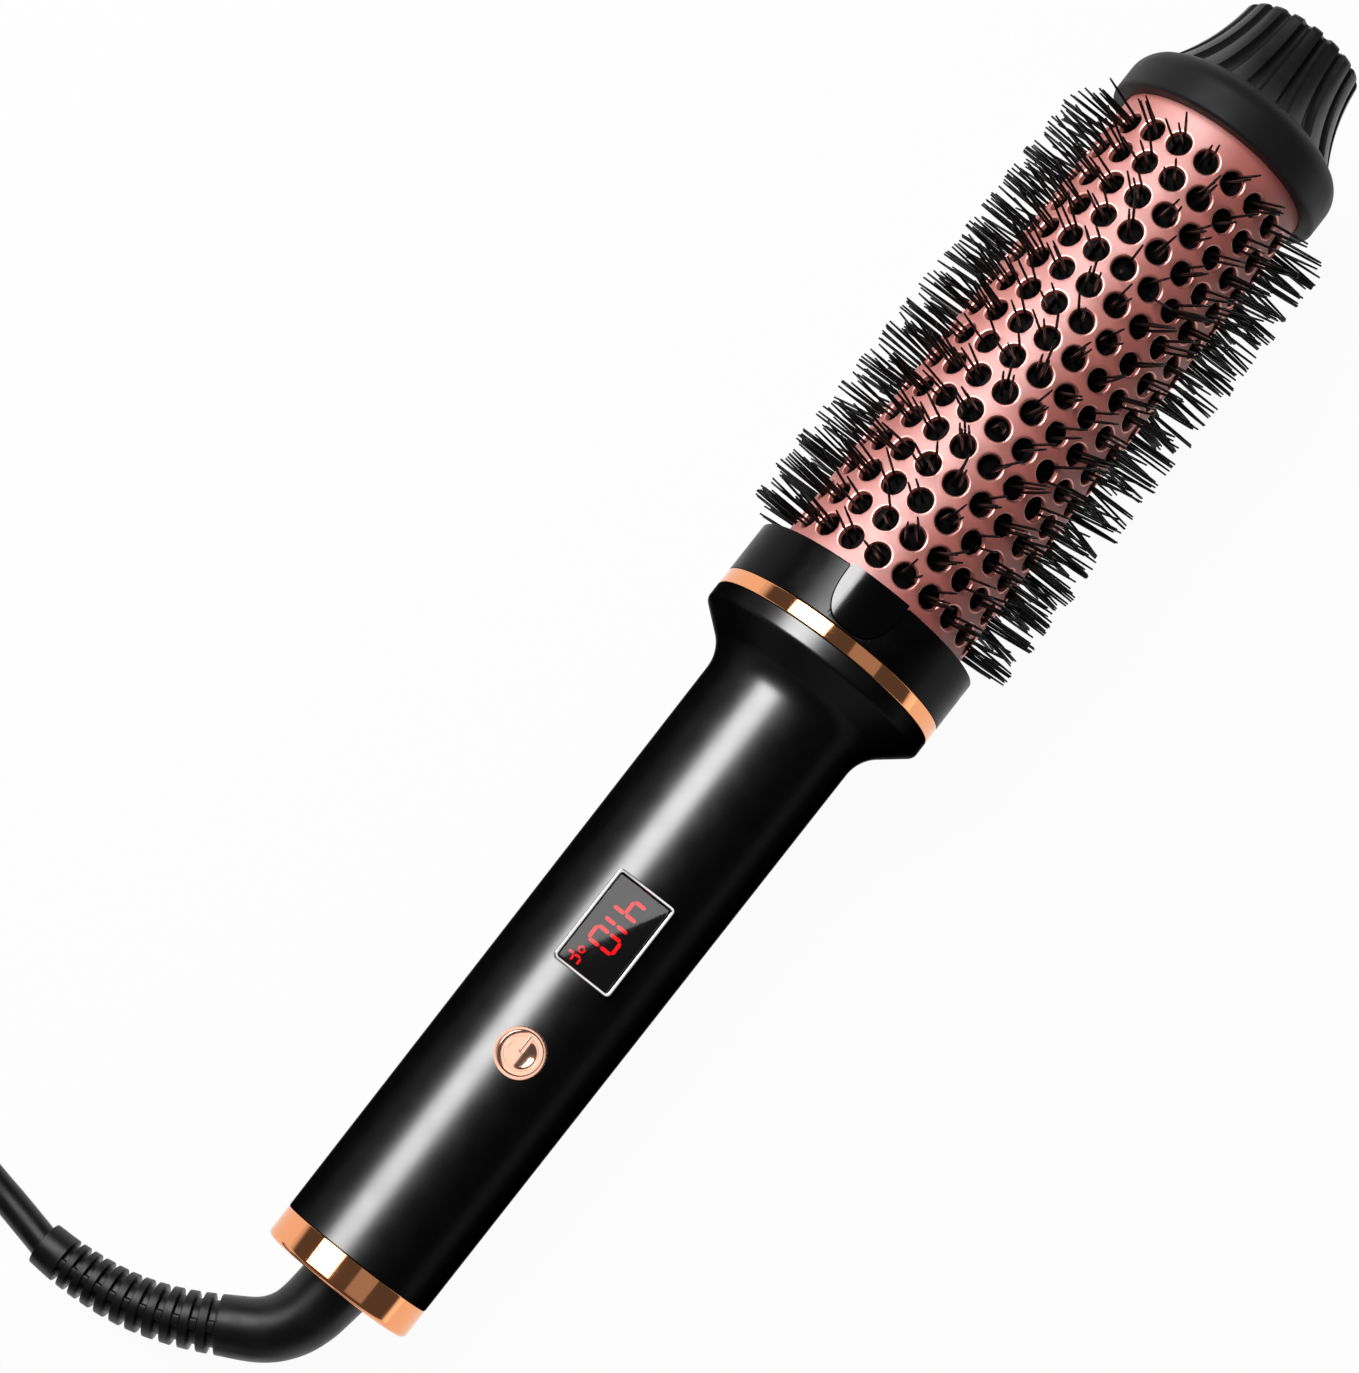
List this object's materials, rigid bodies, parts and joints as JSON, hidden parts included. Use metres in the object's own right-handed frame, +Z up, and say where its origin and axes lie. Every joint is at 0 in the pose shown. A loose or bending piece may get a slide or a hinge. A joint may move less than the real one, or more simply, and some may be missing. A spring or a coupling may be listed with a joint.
{
  "type": "heated round brush",
  "caption": "Heated round hair brush with a perforated pink barrel full of bristles, a black handle with rose-gold rings, a power button, a temperature display and a swivelling mains cord.",
  "frame": {"origin": "middle of the resting brush's length and width, on the surface that it rests on; the cord, its coil and the plug don't count", "axes": "+X along the table from the tail towards the tip, +Z up, +Y to the side where the cord leaves; the brush's own axis rises 4.85 degrees from +X, because it rests on its tail ring and its bristles, with the controls on top"},
  "size_m": [0.4124, 0.1249, 0.0634],
  "materials": {
    "gloss_black": "polished",
    "satin_black": "satin",
    "matt_black": "fine matt grain",
    "rose_gold": "polished rose gold plating",
    "barrel_pink": "satin rose-pink coating",
    "bristle_nylon": "satin nylon",
    "silver": "polished",
    "dark_glass": "polished",
    "red_figures": "lit",
    "black_rubber": "satin",
    "tie_black": "matt",
    "steel": "bright",
    "pale_ceramic": "matt",
    "bare_aluminium": "plain",
    "amber_bead": "glossy",
    "wire_sleeve": "satin",
    "module_black": "matt",
    "board_green": "solder mask",
    "contact_brass": "bright"
  },
  "bodies": {
    "handle": {"handle_front_shell": "gloss_black", "handle_back_shell": "gloss_black", "handle_screws": "steel", "tail_ring": "rose_gold", "neck_ring": "rose_gold", "collar": "satin_black", "collar_insert": "gloss_black", "barrel_sleeve": "barrel_pink", "cap_ring": "matt_black", "cool_tip": "matt_black", "tip_screw": "steel", "rear_spider": "pale_ceramic", "front_spider": "pale_ceramic", "heat_spreader_top": "bare_aluminium", "heat_spreader_bottom": "bare_aluminium", "heater_plate": "pale_ceramic", "thermal_fuse": "bare_aluminium", "temperature_sensor": "amber_bead", "heater_leads": "wire_sleeve", "power_leads": "wire_sleeve", "bristle_bank_1": "bristle_nylon", "bristle_bank_2": "bristle_nylon", "bristle_bank_3": "bristle_nylon", "bristle_bank_4": "bristle_nylon", "bristle_bank_5": "bristle_nylon", "bristle_bank_6": "bristle_nylon", "bristle_bank_7": "bristle_nylon", "bristle_bank_8": "bristle_nylon", "display_frame": "silver", "display_window": "dark_glass", "display_module": "module_black", "display_figures": "red_figures", "circuit_board": "board_green", "tact_switch": "module_black", "swivel_socket": "module_black", "contact_leaves": "contact_brass"},
    "power_button": {"power_button": "rose_gold", "switch_plunger": "pale_ceramic"},
    "cord_swivel": {"swivel_stem": "module_black", "slip_rings": "contact_brass", "strain_relief": "black_rubber", "cord": "black_rubber", "cord_coil": "black_rubber", "cord_tail": "black_rubber", "cord_tie": "tie_black", "plug_body": "black_rubber", "plug_blades": "steel"}
  },
  "joints": [
    {"name": "power_button", "type": "slide", "parent": "handle", "child": "power_button", "axis": [0.0845, 0, -0.9964], "range_m": [0, 0.0006], "stiffness_N_per_m": 600},
    {"name": "cord_swivel", "type": "hinge", "parent": "handle", "child": "cord_swivel", "pos_m": [-0.13915, 0, 0.01457], "axis": [0.9964, 0, 0.0845], "continuous": true}
  ]
}
